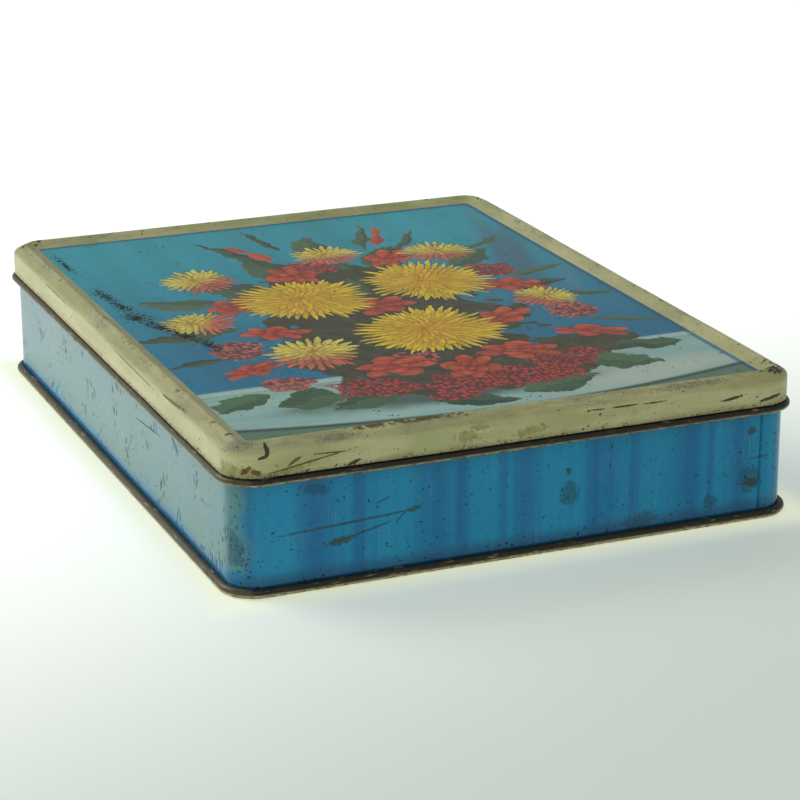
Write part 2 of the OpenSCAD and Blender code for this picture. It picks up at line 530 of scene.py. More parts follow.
class Art:
    """A node tree being filled, with short calls for the nodes that it is painted with."""

    def __init__(self, tree):
        self.tree = tree
        self.tree.nodes.clear()

    def node(self, kind, values, output=0, **settings):
        """Adds a node and gives one of its outputs; its inputs take fields or plain values."""
        node = self.tree.nodes.new(kind)
        for setting, value in settings.items():
            setattr(node, setting, value)
        for key, value in values.items():
            if isinstance(value, Field):
                self.tree.links.new(value.socket, node.inputs[key])
            elif isinstance(value, tuple) and len(node.inputs[key].default_value) == 4:
                node.inputs[key].default_value = (*value, 1)
            else:
                node.inputs[key].default_value = value
        return Field(self, node.outputs[output]) if node.outputs else None

    def outputs(self, first):
        """All outputs of the node that gave this field."""
        return [Field(self, output) for output in first.socket.node.outputs]

    def use(self, name, *values):
        """Adds a node group and gives all its outputs."""
        tree = bpy.data.node_groups[name]
        return self.outputs(self.node("ShaderNodeGroup", dict(enumerate(values)), node_tree=tree))

    def math(self, operation, a, b=0.0, c=0.0):
        """One node of arithmetic."""
        return self.node("ShaderNodeMath", {0: a, 1: b, 2: c}, operation=operation)

    def most(self, first, *others):
        """The highest of several numbers."""
        for other in others:
            first = self.math("MAXIMUM", first, other)
        return first

    def step(self, value, low, high):
        """0 below low, 1 above high and smooth between; it falls if low is the higher one."""
        return self.node("ShaderNodeMapRange", {0: value, 1: low, 2: high},
                         interpolation_type="SMOOTHSTEP")

    def mix(self, share, under, over):
        """Paints one colour over another."""
        return self.node("ShaderNodeMix", {0: share, 6: under, 7: over}, 2, data_type="RGBA")

    def times(self, colour, amount):
        """Makes a colour lighter or darker."""
        return self.node("ShaderNodeMix", {0: amount, 6: (0, 0, 0), 7: colour}, 2,
                         data_type="RGBA", clamp_factor=False)

    def blend(self, share, under, over):
        """Goes from one number to another."""
        return self.node("ShaderNodeMix", {0: share, 2: under, 3: over})

    def mapped(self, size, seed):
        """The place divided by a size, which may be one number per axis."""
        sizes = size if isinstance(size, tuple) else (size, size, size)
        scale = tuple(1 / s for s in sizes)
        return self.node("ShaderNodeMapping", {0: self.here, 1: (seed, seed, seed), 3: scale})

    def noise(self, size, detail=2.0, rough=0.5, seed=0.0):
        """Cloudy noise, mostly 0.3 to 0.7, whose clouds have about this size."""
        return self.node("ShaderNodeTexNoise", {"Vector": self.mapped(size, seed), "Scale": 1.0,
                                                "Detail": detail, "Roughness": rough})

    def cells(self, size, seed=0.0, flat=False):
        """Scattered points: the distance to the nearest one, in cells, and a random number of its own."""
        distance = self.node("ShaderNodeTexVoronoi", {"Vector": self.mapped(size, seed), "Scale": 1.0},
                             voronoi_dimensions="2D" if flat else "3D")
        colour = self.outputs(distance)[1]
        return distance, self.node("ShaderNodeSeparateColor", {0: colour})

    def chance(self, number):
        """A random number, 0 to 1, that belongs to a whole number."""
        return self.math("FRACT", self.math("SINE", number * 12.9898) * 437.585)

    def square(self, x, y):
        """The sum of two squares."""
        return self.math("MULTIPLY_ADD", x, x, y * y)

    def near(self, place, items):
        """Distance to the nearest of several ellipses, 1 at its rim."""
        best = FAR
        for item in items:
            best, = self.use("nearer", *place, *ellipse(*item), best)
        return self.math("SQRT", best)

    def nearest(self, place, items):
        """The place as seen from the nearest ellipse, the distance to it and its number in the list."""
        found = [0.0, 0.0, FAR, 0.0]
        for number, item in enumerate(items):
            found = self.use("nearest", *place, *ellipse(*item), number, *found)
        x, y, best, label = found
        return x, y, self.math("SQRT", best), label

    def specks(self, size, share, seed):
        """Small irregular spots in clusters; share is how much of a cluster they fill."""
        distance, random = self.cells(size, seed)
        cluster = self.step(self.noise(size * 9, seed=seed + 3), 0.5, 0.68)
        return self.step(random * cluster * share - distance, 0.0, 0.08)

    def hairlines(self, size, seed, width=0.012):
        """Fine, broken scratches that run along the longest of the three sizes."""
        level = abs(self.noise(size, detail=1.0, seed=seed) - 0.5)
        unbroken = self.step(self.noise(max(size) * 0.5, seed=seed + 5), 0.52, 0.6)
        return self.step(level, width, width * 0.3) * unbroken


class Surface(Art):
    """A material's tree, which knows the place on the object in millimetres."""

    def __init__(self, name):
        self.material = bpy.data.materials.new(name)
        self.material.use_nodes = True
        super().__init__(self.material.node_tree)
        metres = self.node("ShaderNodeTexCoord", {}, "Object")
        self.here = self.node("ShaderNodeVectorMath", {0: metres, 3: 1 / MM}, operation="SCALE")
        self.x, self.y, self.z = self.outputs(self.node("ShaderNodeSeparateXYZ", {0: self.here}))

    def finish(self, colour, rough, metal=0.0, height=None, ior=1.5):
        """Ends the tree in a shader; height is in millimetres."""
        values = {"Base Color": colour, "Roughness": rough, "Metallic": metal, "IOR": ior}
        if height is not None:
            values["Normal"] = self.node("ShaderNodeBump", {"Height": height, "Distance": MM})
        shader = self.node("ShaderNodeBsdfPrincipled", values)
        self.node("ShaderNodeOutputMaterial", {0: shader})
        return self.material


def group(name, build, inputs, outputs):
    """Makes a node group. Inputs and outputs are strings of n for a number and c for a colour."""
    kinds = {"n": "NodeSocketFloat", "c": "NodeSocketColor"}
    tree = bpy.data.node_groups.new(name, "ShaderNodeTree")
    for side, letters in (("INPUT", inputs), ("OUTPUT", outputs)):
        for number, letter in enumerate(letters):
            tree.interface.new_socket(f"{side} {number}", in_out=side, socket_type=kinds[letter])
    art = Art(tree)
    given = art.outputs(art.node("NodeGroupInput", {}))[:len(inputs)]
    art.node("NodeGroupOutput", dict(enumerate(build(art, *given))))


def ellipse(x, y, length, width, turn):
    """Factors that turn a place into half lengths and half widths from the middle of an ellipse."""
    c, s = math.cos(math.radians(turn)), math.sin(math.radians(turn))
    return (c / length, s / length, -(x * c + y * s) / length,
            -s / width, c / width, (x * s - y * c) / width)


def seen_from(art, x, y, a, b, c, d, e, f):
    """A place as seen from an ellipse with these factors, and its distance squared."""
    along = art.math("MULTIPLY_ADD", x, a, art.math("MULTIPLY_ADD", y, b, c))
    aside = art.math("MULTIPLY_ADD", x, d, art.math("MULTIPLY_ADD", y, e, f))
    return along, aside, art.square(along, aside)


def nearer(art, x, y, a, b, c, d, e, f, best):
    """The group behind Art.near: keeps the lower of two distances squared."""
    return [art.math("MINIMUM", best, seen_from(art, x, y, a, b, c, d, e, f)[2])]


def nearest(art, x, y, a, b, c, d, e, f, number, best_x, best_y, best, label):
    """The group behind Art.nearest: keeps what belongs to the lower of two distances."""
    along, aside, away = seen_from(art, x, y, a, b, c, d, e, f)
    closer = art.math("LESS_THAN", away, best)
    return [art.blend(closer, best_x, along), art.blend(closer, best_y, aside),
            art.math("MINIMUM", best, away), art.blend(closer, label, number)]


# ---- The printed picture: a bunch of autumn flowers on a round table ----
# Places are from the middle of the lid, and the things in it start from ellipses.

TABLE_BACK = -67                # far edge of the table
TABLE_FRONT = -114.5            # middle of its near edge, which curves back to both sides
TABLE_CURVE = 0.0014

RED_BERRIES = [
    (-4, 52, 10, 8, 0), (56, 26, 9, 9, 20), (8, -88, 26, 9, -6), (36, -78, 14, 8, 20),
    (-32, -82, 13, 8, -14), (-12, -98, 8, 5, 0)
]
PINK_BERRIES = [(-60, -30, 8, 10, 0), (62, -30, 8, 10, 30), (-56, -68, 8, 7, 0), (-10, -60, 8, 7, 0)]
BACK_LEAVES = [
    (-62, 28, 16, 7, 160), (-38, 36, 15, 10, 140), (-18, 58, 20, 9, 105), (6, 80, 14, 7, 80),
    (28, 56, 17, 9, 60), (56, 44, 15, 7, 35), (-24, 84, 19, 2.6, 112), (-8, 94, 17, 2.2, 98),
    (30, 86, 20, 2.6, 72), (44, 76, 16, 2.2, 58), (68, 60, 15, 2.6, 40), (74, 20, 14, 3, 15),
    (-77, -10, 13, 3, 175), (-76, -38, 14, 2.6, -168), (76, -14, 12, 2.4, -8), (74, -46, 14, 3, -25),
    (64, 4, 13, 6, 10), (-66, -8, 13, 6, 190), (10, 42, 16, 9, 90)
]
BUDS = [(-15, 74, 8, 3.4, 105), (-20, 86, 7, 2.6, 110), (34, 80, 8, 3, 66), (38, 91, 6, 2.2, 70)]
BLOSSOMS = [
    (-12, 46, 14, 10, 100), (28, 54, 12, 8, 60), (-44, 18, 12, 9, 30), (56, 6, 13, 9, -20),
    (4, 0, 12, 10, 20), (-42, -16, 12, 8, -30), (36, -28, 13, 9, 40), (-18, -64, 15, 10, 10),
    (26, -64, 15, 9, -20), (4, -74, 13, 9, 60), (56, -54, 14, 6, -25), (-62, -50, 12, 6, 20)
]
DARK_HEART = [
    (0, -20, 46, 40, 0), (-4, -58, 46, 26, 0), (4, -84, 44, 15, 0), (2, 22, 34, 28, 0),
    (50, -66, 20, 12, -10)
]
FRONT_LEAVES = [
    (-76, -80, 12, 7, 30), (-56, -86, 13, 9, -160), (-40, -93, 14, 7, 200), (52, -86, 14, 8, -30),
    (68, -74, 12, 6, -10), (24, -100, 16, 8, 10), (-8, -104, 15, 7, -20), (-26, -72, 9, 5, 0),
    (4, 26, 12, 4, 80)
]
BACK_FLOWERS = [
    (-46, 52, 15, 15, 30), (8, 66, 14, 13, 0), (48, 56, 15, 14, -20), (-62, 4, 14, 14, 60),
    (60, -12, 13, 13, -50)
]
MIDDLE_FLOWERS = [(-19, 16, 26, 25, 10), (30, 22, 25, 24, 70)]
FRONT_FLOWERS = [(8, -33, 27, 26, 40)]
TALL_FLOWER = [(-38, -42, 17, 18, -12)]

# A flower's rings of petals: how many, reach and lift, from the outermost in
FULL_RINGS = ((44, 1.0, 0.0), (41, 0.9, 0.02), (38, 0.79, 0.04), (34, 0.67, 0.06),
              (29, 0.54, 0.08), (23, 0.41, 0.1), (16, 0.28, 0.11), (9, 0.15, 0.12))
LOOSE_RINGS = ((26, 1.0, 0.0), (22, 0.84, 0.04), (18, 0.66, 0.08), (14, 0.48, 0.12), (8, 0.28, 0.15))
BROAD_RINGS = ((6, 1.1, 0.0), (5, 0.72, 0.05), (4, 0.36, 0.1))

# Folds in the cloth behind: place, strength and colour
FOLDS = (((72, 42, 70, 7, 80), 0.6, shade(78, 98, 122)), ((84, 66, 60, 5, 74), 0.45, shade(66, 92, 120)),
         ((62, 20, 50, 5, 76), 0.35, shade(52, 96, 122)), ((80, 10, 40, 4, 72), 0.3, shade(104, 150, 166)))
TABLE_SHEEN = [(56, -100, 40, 10, 8)]
TABLE_SHADOW = [(-14, -94, 60, 12, 0), (34, -84, 26, 6, 4)]
PANEL_CHIPS = [
    (-82, 47, 1.6, 7, 8), (-80.5, 33, 1.6, 6, 10), (-79.5, 19, 3, 5, 20), (-75.5, 5, 1.7, 8, 24),
    (-70.5, -8, 1.5, 6, 24), (-66.5, -20, 1.8, 6, 10), (-84, 90, 0.9, 8, 0)
]


def petals(art, under, x, y, label, turns, reach, number, deep, light, full):
    """One ring of pointed petals; under it, what it covers is darkened a little."""
    around = art.math("ARCTAN2", y, x) * turns
    across = abs(art.math("FRACT", around) - 0.5)
    seed = art.math("FLOOR", around) + label * 61 + number * 47
    along = art.math("SQRT", art.square(x, y)) / (reach * (art.chance(seed) * 0.26 + 0.84))
    edge = (1 - along ** 5) * full - across
    shadow = 1 - art.step(edge, -0.3, 0.02) * 0.3
    lit = art.step(along, 0.1, 0.85) * (1 - across * 1.3)
    colour = art.times(art.mix(lit, deep, light), art.chance(seed + 0.5) * 0.4 + 0.78)
    return [art.mix(art.step(edge, 0.0, 0.07), art.times(under, shadow), colour)]


def paint_rings(art, under, x, y, label, rings, deep, light, full):
    """A whole flower; full is how far its petals fill the ring, up to 0.5 or a little over."""
    for number, (count, reach, lift) in enumerate(rings):
        under, = art.use("petals", under, x, y - lift, label, count / math.tau, reach, number,
                         deep, light, full)
    return under


def paint_mums(art, under, place, items):
    """Big yellow chrysanthemums, golden towards the middle."""
    x, y, away, label = art.nearest(place, items)
    deep = art.mix(away, shade(206, 132, 8), shade(212, 156, 12))
    light = art.mix(art.step(away, 0.2, 1.0), shade(252, 202, 12), shade(254, 222, 36))
    return paint_rings(art, under, x, y, label, FULL_RINGS, deep, light, 0.54)


def paint_small_mums(art, under, place, items, full=0.46):
    """Loose chrysanthemums, pink below and pale yellow above."""
    x, y, _, label = art.nearest(place, items)
    pink = art.step(y, 0.1, -0.45)
    deep = art.mix(pink, shade(196, 152, 24), shade(166, 62, 44))
    light = art.mix(pink, shade(248, 232, 104), shade(228, 124, 92))
    return paint_rings(art, under, x, y, label, LOOSE_RINGS, deep, light, full)


def paint_blossoms(art, under, place, items):
    """Red blossoms of a few broad petals, lighter towards their tips."""
    x, y, _, label = art.nearest(place, items)
    cloud = art.noise(5)
    deep = art.mix(cloud, shade(118, 26, 14), shade(176, 52, 26))
    light = art.mix(cloud, shade(200, 56, 28), shade(240, 116, 72))
    return paint_rings(art, under, x, y, label, BROAD_RINGS, deep, light, 0.52)


def paint_leaves(art, under, place, items, dark, light):
    """Leaves with a midrib, side veins and one half in the light."""
    x, y, away, label = art.nearest(place, items)
    tone = art.chance(label + 0.5)
    rim = (1 - x * x) * (0.95 - x * 0.3) + (art.noise(3) - 0.5) * 0.45
    edge = art.math("MINIMUM", rim - abs(y), 1.2 - away)
    slant = art.math("FRACT", x * 3.5 - abs(y) * 1.8)
    vein = art.step(abs(slant - 0.5), 0.07, 0.0) * 0.1 + art.step(abs(y), 0.09, 0.02) * 0.25
    lit = art.step(y, -0.15, 0.2) * 0.35 + tone * 0.5 + (art.noise(9, seed=4) - 0.5) * 0.6
    colour = art.mix(lit, dark, light)
    colour = art.mix(vein, colour, shade(128, 150, 112))
    return art.mix(art.step(edge, 0.0, 0.08), under, colour)


def paint_berries(art, under, place, items, deep, light):
    """Clusters of small round berries over a dark ground."""
    away = art.near(place, items) + (art.noise(6, seed=8) - 0.5) * 1.1
    distance, random = art.cells(2.0, flat=True)
    cluster = art.step(away, 1.02, 0.9)
    ball = art.step(distance, 0.6, 0.44) * art.step(away, 1.15, 1.0)
    lit = (1.15 - distance * 0.9) * (art.noise(7, detail=3.0, seed=3) * 1.6 + 0.2)
    colour = art.times(art.mix(random, deep, light), lit)
    colour = art.mix(art.step(distance, 0.2, 0.06) * 0.5, colour, shade(226, 150, 138))
    under = art.mix(cluster * 0.85, under, shade(96, 34, 30))
    return art.mix(ball, under, colour)


def paint_backdrop(art, place):
    """Blue cloth in soft folds, lighter towards its top."""
    colour = art.mix(art.step(place[1], -60, 100), shade(0, 122, 160), shade(28, 164, 182))
    weave = art.noise((16, 150, 50), detail=3.0) + art.noise((5, 90, 50), seed=2) * 0.25
    colour = art.times(colour, weave * 0.55 + 0.68)
    for item, strength, tint in FOLDS:
        fold = art.step(art.near(place, [item]), 1.25, 0.2) * strength
        colour = art.mix(fold, colour, tint)
    return colour


def paint_table(art, under, place):
    """A pale green round table with a beaded edge behind, a painted sheen on its right and a shadow below
    the bunch.
    """
    x, y = place
    edge = y - TABLE_BACK
    colour = art.mix(art.noise((40, 8, 20), detail=3.0), shade(132, 180, 174), shade(184, 220, 212))
    # Painted sheen: a pale patch on the right of the table.
    sheen = art.step(art.near(place, TABLE_SHEEN), 1.3, 0.3)
    colour = art.mix(sheen * 0.7, colour, shade(206, 214, 196))
    shadow = art.step(art.near(place, TABLE_SHADOW) + art.noise(9) * 0.4, 1.35, 0.6)
    colour = art.mix(shadow * 0.85, colour, shade(52, 78, 70))
    bead = art.math("SINE", x * (math.tau / 2.6)) * 0.5 + 0.5
    row = art.step(abs(edge + 2.6), 1.7, 0.8)
    colour = art.mix(row * (bead * 0.25 + 0.12), colour, shade(214, 230, 220))
    for groove, width in ((5, 0.8), (0.4, 0.7)):
        colour = art.times(colour, 1 - art.step(abs(edge + groove), width, 0.1) * 0.25)
    lip = y - TABLE_FRONT - x * x * TABLE_CURVE
    colour = art.mix(art.step(lip, 0.6, -1.2), colour, shade(94, 132, 112))
    colour = art.mix(art.step(abs(lip + 0.4), 2.2, 0.2) * 0.85, colour, shade(34, 58, 46))
    return art.mix(art.step(edge, 0.25, -0.25), under, colour)


def stray(art, place, size, reach, seeds, detail=2.0):
    """The place pushed about a little, so that what is drawn from it has uneven outlines."""
    return tuple(value + (art.noise(size, detail=detail, seed=seed) - 0.5) * reach
                 for value, seed in zip(place, seeds))


def paint_picture(art, flat):
    """The whole picture, from the cloth behind to the nearest flower."""
    place = stray(art, flat, 4.5, 2.2, (0, 9))
    colour = paint_table(art, paint_backdrop(art, flat), flat)
    torn = stray(art, place, 11, 11, (5, 15), detail=3.0)
    colour = paint_leaves(art, colour, torn, BACK_LEAVES, shade(38, 66, 54), shade(92, 124, 88))
    heart = art.step(art.near(place, DARK_HEART) + (art.noise(8) - 0.5) * 1.2, 1.0, 0.9)
    colour = art.mix(heart, colour, art.mix(art.noise(5, seed=6), shade(26, 32, 20), shade(92, 92, 62)))
    colour = paint_leaves(art, colour, torn, FRONT_LEAVES, shade(34, 70, 48), shade(86, 128, 84))
    colour = paint_berries(art, colour, place, RED_BERRIES, shade(136, 28, 26), shade(210, 64, 54))
    colour = paint_berries(art, colour, place, PINK_BERRIES, shade(150, 58, 54), shade(220, 122, 108))
    colour = paint_blossoms(art, colour, place, BLOSSOMS)
    colour = paint_leaves(art, colour, place, BUDS, shade(160, 44, 22), shade(232, 96, 56))
    colour = paint_small_mums(art, colour, place, BACK_FLOWERS)
    colour = paint_mums(art, colour, place, MIDDLE_FLOWERS)
    colour = paint_mums(art, colour, place, FRONT_FLOWERS)
    return paint_small_mums(art, colour, place, TALL_FLOWER, full=0.5)


def make_groups():
    """The node groups that the picture is painted with."""
    group("nearer", nearer, "n" * 9, "n")
    group("nearest", nearest, "n" * 13, "nnnn")
    group("petals", petals, "cnnnnnnccn", "c")


def picture_print():
    """The picture under clear varnish, with chips, specks and hairline scratches."""
    art = Surface("picture_print")
    flat = (art.x, art.y)
    colour = paint_picture(art, flat)
    # Painted shade: a deeper blue line along the picture's far and right edges, at the foot of the slope.
    rim = art.most(art.x - (HALF_W - PANEL_IN), art.y - (HALF_L - PANEL_IN))
    colour = art.mix(art.step(rim, -2.4, -1.0) * 0.75, colour, shade(0, 92, 140))
    chips = art.near(flat, PANEL_CHIPS)
    grit = art.noise(1.3, detail=4.0, rough=0.75)
    chip = art.step(grit - chips * 0.1, 0.4, 0.42)
    fleck = art.specks(1.3, 0.5, 12)
    scratch = art.hairlines((0.5, 14, 10), 3)
    colour = art.mix(scratch * 0.22, colour, shade(150, 178, 178))
    colour = art.mix(fleck * 0.8, colour, shade(30, 44, 46))
    colour = art.mix(chip, colour, shade(12, 14, 12))
    rough = art.noise(20, detail=3.0) * 0.1 + 0.12 + chip * 0.35 + scratch * 0.2
    height = art.noise(1.4) * 0.006 - chip * 0.05 - scratch * 0.02 - fleck * 0.02
    return art.finish(colour, rough, height=height, ior=1.38)


# ---- The tin's own finishes. On the front a place is (x, z), on the left side (y, z). ----

# Darker bands in the blue: place along the front and half width
FRONT_BANDS = [
    (-91, 2.5), (-69, 5), (-55, 2), (-31, 5), (-21, 2), (-7, 1.5), (1, 4), (27, 5), (39, 2), (58, 4),
    (66, 1.2), (77, 3)
]
FRONT_SMUDGES = [
    (-69, 32, 5, 1.8, -10), (41, 5.5, 6.5, 3, 8), (16, 18, 3.4, 4.2, 0), (80, 14, 4, 5, 0),
    (66, 8, 2.6, 2.4, 0), (-94, 15, 2.6, 7, 12)
]
FRONT_RUST = [
    (-61, 14.4, 4.2, 1.3, 8), (80.5, 30, 1.6, 1.3, 0), (-96, 19, 1.2, 2.4, 0),
    (15.6, 25.6, 0.8, 1.2, 0), (81, 12.6, 2.6, 1.6, 0)
]
FRONT_SCRATCHES = [
    (-58.5, 19.8, 25, 0.42, 3.2), (-53, 16.2, 10.5, 0.34, 13), (-41, 19.4, 3.4, 0.3, 46),
    (-37, 21.2, 2.4, 0.9, 10), (83, 20.8, 4.4, 0.24, 4), (71.5, 16.2, 2, 0.24, -40),
    (-47, 25.5, 3, 0.3, 20)
]
LEFT_SCRATCH = [(-40, 28.4, 13.5, 0.26, -4.5)]

LID_STAINS = [
    (-95, 41, 4, 2, -10), (-89.5, 40.2, 2.2, 1.6, 0), (-20, 42.4, 4, 2, 0), (-16, 45, 3, 1, 0),
    (1, 41.5, 6, 1.4, 5), (-81, 39.6, 10, 0.8, 8)
]
LID_SCUFFS = [(-93, 48, 6, 1.3, 10), (-62, 47.6, 7, 0.6, 0), (58, 48, 14, 0.7, 0)]
LID_RUST = [
    (-72, 41.6, 14, 0.3, 9), (-65, 43.6, 6, 0.26, -3), (-76, 42.6, 2.4, 0.5, 30), (-91, 41, 2, 0.8, 40),
    (-88, 40.4, 1.6, 0.9, -20)
]
LID_CHIPS = [
    (-84.6, 46.6, 0.8, 2, -12), (-86.2, 44.9, 1.7, 0.55, 8), (24, 45.3, 3, 0.22, -2),
    (33.5, 45.2, 5, 0.3, 0), (44, 45, 4, 0.26, 0), (72, 42.6, 4.5, 0.5, 8), (86, 41, 4.5, 0.6, 10),
    (-57, 39.5, 2.6, 0.6, 20)
]
LID_LEFT_LINES = [(-30, 45.6, 26, 0.3, 1), (-70, 46.6, 12, 0.4, -2), (60, 46, 16, 0.3, 0)]
EATEN_CREST = [(-38, 48, 24, 2.6, 0)]

GLOW_FRONT = 0.17               # the floor's own light in front of the tin
GLOW_BACK = 0.64                # and behind it


def on_front(art, mask, reach=8):
    """Keeps a mark to the front side."""
    return mask * art.step(art.y, reach - HALF_L, reach - 2 - HALF_L)


def on_left(art, mask, reach=8):
    """Keeps a mark to the left side."""
    return art.step(art.x, reach - HALF_W, reach - 2 - HALF_W) * mask


def broken(art, place, items, rag, grain, seed=0.0):
    """Marks with ragged rims: 1 inside the ellipses; rag is how ragged and grain how finely."""
    away = art.near(place, items) + (art.noise(grain, detail=3.0, rough=0.65, seed=seed) - 0.5) * rag
    return art.step(away, 1.0, 0.86)


def front_marks(art, items, rag, grain, seed=0.0):
    """Ragged marks on the front side."""
    return on_front(art, broken(art, (art.x, art.z), items, rag, grain, seed))


def blue_ground(art):
    """Blue in soft upright bands, with painted shade along the foot and, on the left side, a pale film that
    is partly dirt and partly painted reflection.
    """
    soft = art.step(art.noise((9, 9, 600), detail=2.0, seed=1), 0.42, 0.62)
    thin = art.noise((2.2, 2.2, 300), seed=3)
    bands = art.near((art.x, art.z), [(x, 22, 90, width, 90) for x, width in FRONT_BANDS])
    band = on_front(art, art.step(bands, 1.7, 0.3), 3) + soft * 0.45
    colour = art.mix(band * 0.62, shade(4, 144, 188), shade(0, 110, 164))
    colour = art.times(colour, thin * 0.3 + 0.85)
    # Painted shade: deeper blue along the foot, just above the bead.
    colour = art.mix(art.step(art.z, 8.5, 4.0) * 0.7, colour, shade(2, 82, 128))
    # Painted reflection: the left side is paled by a film that is partly dirt and partly a painted
    # reflection of the bright floor.
    film = art.noise((14, 26, 30), detail=3.0, seed=7)
    side = art.step(art.x + art.noise(7, detail=3.0, seed=9) * 9, 12 - HALF_W, 4 - HALF_W)
    film_and_reflection = side * art.step(art.z + film * 3, 8.0, 9.8) * (art.step(film, 0.3, 0.6) * 0.16 + 0.68)
    return art.mix(film_and_reflection, colour, shade(100, 138, 122))


def wall_dirt(art):
    """Dark specks, a scratch and short streaks on the left, and wear at the foot and the corners."""
    nick = on_left(art, broken(art, (art.y, art.z), LEFT_SCRATCH, 0.6, 2.0))
    streaked = art.step(art.noise((30, 12, 14), seed=14), 0.46, 0.66)
    distance, random = art.cells((1.1, 1.1, 3.6), 5)
    streak = on_left(art, art.step(random * streaked * 0.66 - distance, 0.0, 0.16))
    fleck = art.specks(1.5, 0.2, 21)
    right_corners = [(HALF_W - 2, 2 - HALF_L, 7, 9, 0), (HALF_W - 2, HALF_L - 2, 7, 9, 0)]
    ends = art.near((abs(art.x), art.y), right_corners)
    foot = art.step(art.z, 5.5, 3.0)
    grain = art.noise(1.2, detail=3.0, seed=8) + foot * 0.05 + art.step(ends, 1.2, 0.3) * 0.045
    return art.most(fleck, nick, streak * 0.8, art.step(grain, 0.67, 0.71))


def blue_print():
    """Blue printing on the walls, with scratches, rust, smudges and specks, under gloss varnish."""
    art = Surface("blue_print")
    colour = blue_ground(art)
    smudge = front_marks(art, FRONT_SMUDGES, 2.4, 1.5)
    colour = art.mix(smudge * (art.noise(0.8, seed=6) * 0.9 + 0.1), colour, shade(20, 72, 88))
    rust = front_marks(art, FRONT_RUST, 2.4, 0.8)
    line = front_marks(art, FRONT_SCRATCHES, 1.3, 1.1, 4)
    dark = wall_dirt(art)
    pale = art.hairlines((0.7, 0.7, 26), 4)
    colour = art.mix(pale * 0.35, colour, shade(120, 170, 185))
    colour = art.mix(rust * 0.85, colour, art.mix(art.noise(0.9), shade(14, 26, 24), shade(78, 98, 72)))
    bared = art.mix(art.noise(1.5, seed=3), shade(14, 34, 40), shade(70, 92, 80))
    colour = art.mix(line * 0.75, colour, bared)
    colour = art.mix(dark * 0.85, colour, shade(16, 28, 34))
    damage = art.most(rust, line, dark)
    rough = art.noise((14, 14, 22), detail=3.0, seed=2) * 0.1 + 0.1 + damage * 0.4 + smudge * 0.12
    height = art.noise(1.6) * 0.005 - damage * 0.05
    return art.finish(colour, rough, height=height, ior=1.42)


def cream_ground(art, tone, dull):
    """Cream that has yellowed, dulled along the crest, and is stained and scuffed lower down."""
    colour = art.mix(art.step(tone, 0.35, 0.65), shade(182, 182, 126), shade(204, 202, 150))
    olive = art.step(art.noise(5, detail=4.0, rough=0.6, seed=2), 0.58, 0.72)
    colour = art.mix(olive * 0.25, colour, shade(150, 146, 82))
    colour = art.mix(dull * 0.7, colour, shade(128, 128, 112))
    foot = art.step(art.z + art.noise(3, detail=3.0, seed=9) * 3, CURL_Z + 5.4, CURL_Z + 2.2)
    colour = art.mix(foot * 0.55, colour, shade(118, 104, 62))
    stain = front_marks(art, LID_STAINS, 3.0, 1.2)
    colour = art.mix(stain * art.noise(2.2, seed=8), colour, shade(134, 124, 40))
    scuff = front_marks(art, LID_SCUFFS, 3.4, 0.8)
    return art.mix(scuff * art.noise(1.6, seed=5), colour, shade(108, 110, 112))


def crest_wear(art):
    """Rust that has eaten into the front crest, and bare metal at two corners of the rim."""
    crest = art.step(art.z, LID_TOP - 1.3, LID_TOP - 0.25)
    grit = art.noise((3.4, 3.4, 1.2), detail=4.0, rough=0.75, seed=11)
    spot = art.step(on_front(art, art.near((art.x, art.z), EATEN_CREST), 12), 1.3, 0.4)
    eaten = art.step(grit + spot * on_front(art, crest, 14) * 0.19, 0.6, 0.65) * crest
    corners = [(HALF_W - 4, 4 - HALF_L, 7, 7, 0), (4 - HALF_W, HALF_L - 4, 6, 6, 0)]
    ends = art.near((art.x, art.y), corners)
    bare = art.step(grit - ends * 0.2, 0.38, 0.46) * art.step(art.z, LID_TOP - 2.2, LID_TOP - 1.0)
    return eaten, bare


def cream_enamel():
    """Cream enamel on the lid, chipped, rusted in thin lines and worn through along the crest."""
    art = Surface("cream_enamel")
    tone = art.noise((30, 30, 7), detail=3.0, seed=1)
    grey = art.step(art.noise((22, 22, 2.4), detail=5.0, rough=0.75, seed=6), 0.46, 0.74)
    dull = grey * art.step(art.z, BREAK_Z - 0.9, LID_TOP - 0.5)
    colour = cream_ground(art, tone, dull)
    rust_line = front_marks(art, LID_RUST, 1.7, 1.0, 3)
    chip = front_marks(art, LID_CHIPS, 1.5, 0.9, 6)
    eaten, bare = crest_wear(art)
    left_line = on_left(art, broken(art, (art.y, art.z), LID_LEFT_LINES, 2.4, 1.2))
    fleck = art.specks(1.4, 0.36, 31)
    foot = art.step(art.z, CURL_Z + 4, CURL_Z + 1.4)
    foot_grit = art.step(art.noise(0.9, detail=3.0, rough=0.7, seed=5) + foot * 0.11, 0.66, 0.7)
    hair = art.hairlines((22, 22, 0.5), 6)
    rusty = art.most(rust_line, eaten)
    black = art.most(chip, fleck, foot_grit, left_line * 0.7)
    colour = art.mix(hair * 0.4, colour, shade(120, 116, 88))
    brown = art.mix(art.noise(1.1, seed=4), shade(24, 20, 12), shade(134, 102, 48))
    colour = art.mix(rusty * 0.9, colour, brown)
    colour = art.mix(black * 0.9, colour, shade(34, 32, 26))
    metal = art.mix(art.noise(1.3, seed=12), shade(24, 22, 18), shade(120, 116, 106))
    colour = art.mix(bare, colour, metal)
    damage = art.most(rusty, black, bare)
    rough = tone * 0.16 + 0.3 + damage * 0.3 + dull * 0.12
    height = art.noise(1.3) * 0.006 - damage * 0.06 - hair * 0.01
    return art.finish(colour, rough, bare * 0.5, height, ior=1.42)


